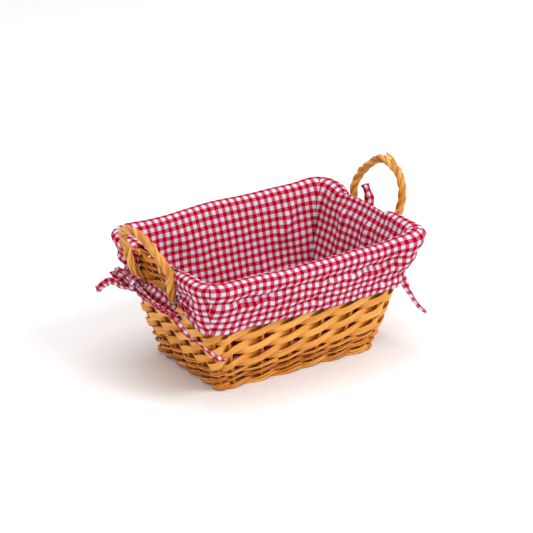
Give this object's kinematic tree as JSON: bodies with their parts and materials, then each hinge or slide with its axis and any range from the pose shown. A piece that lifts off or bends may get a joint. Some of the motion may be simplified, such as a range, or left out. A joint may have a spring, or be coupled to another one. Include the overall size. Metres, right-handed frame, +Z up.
{
  "type": "bread basket",
  "caption": "Rectangular woven willow bread basket with rope-twisted end handles and a checked cotton liner that folds over the rim and is tied on with bows.",
  "frame": {"origin": "centre of the base, on the surface that the basket stands on", "axes": "+X along the length towards the far handle, +Y across towards the back long side, +Z up"},
  "size_m": [0.3577, 0.2236, 0.1986],
  "materials": {
    "willow": "varnished round willow rods",
    "chip": "satin varnished split wood chip",
    "handle_willow": "glossy varnished split willow",
    "gingham": "woven cotton gingham in two crossing stripes"
  },
  "bodies": {
    "root": {"base_stick_1": "willow", "base_stick_2": "willow", "base_stick_3": "willow", "base_stick_4": "willow", "base_weaver": "willow", "border_rod_a": "willow", "border_rod_b": "willow", "chip_1a": "chip", "chip_1b": "chip", "chip_2a": "chip", "chip_2b": "chip", "chip_3a": "chip", "chip_3b": "chip", "chip_4a": "chip", "chip_4b": "chip", "chip_5a": "chip", "chip_5b": "chip", "far_handle_a": "handle_willow", "far_handle_b": "handle_willow", "far_tie_back": "gingham", "far_tie_front": "gingham", "foot_rod_a": "willow", "foot_rod_b": "willow", "liner": "gingham", "lower_wale_1a": "willow", "lower_wale_1b": "willow", "lower_wale_2a": "willow", "lower_wale_2b": "willow", "near_handle_a": "handle_willow", "near_handle_b": "handle_willow", "near_tie_back": "gingham", "near_tie_front": "gingham", "stake_01": "willow", "stake_02": "willow", "stake_03": "willow", "stake_04": "willow", "stake_05": "willow", "stake_06": "willow", "stake_07": "willow", "stake_08": "willow", "stake_09": "willow", "stake_10": "willow", "stake_11": "willow", "stake_12": "willow", "stake_13": "willow", "stake_14": "willow", "stake_15": "willow", "stake_16": "willow", "stake_17": "willow", "stake_18": "willow", "stake_19": "willow", "stake_20": "willow", "stake_21": "willow", "stake_22": "willow", "stake_23": "willow", "stake_24": "willow", "upper_wale_1a": "willow", "upper_wale_1b": "willow", "upper_wale_2a": "willow", "upper_wale_2b": "willow"}
  },
  "joints": []
}
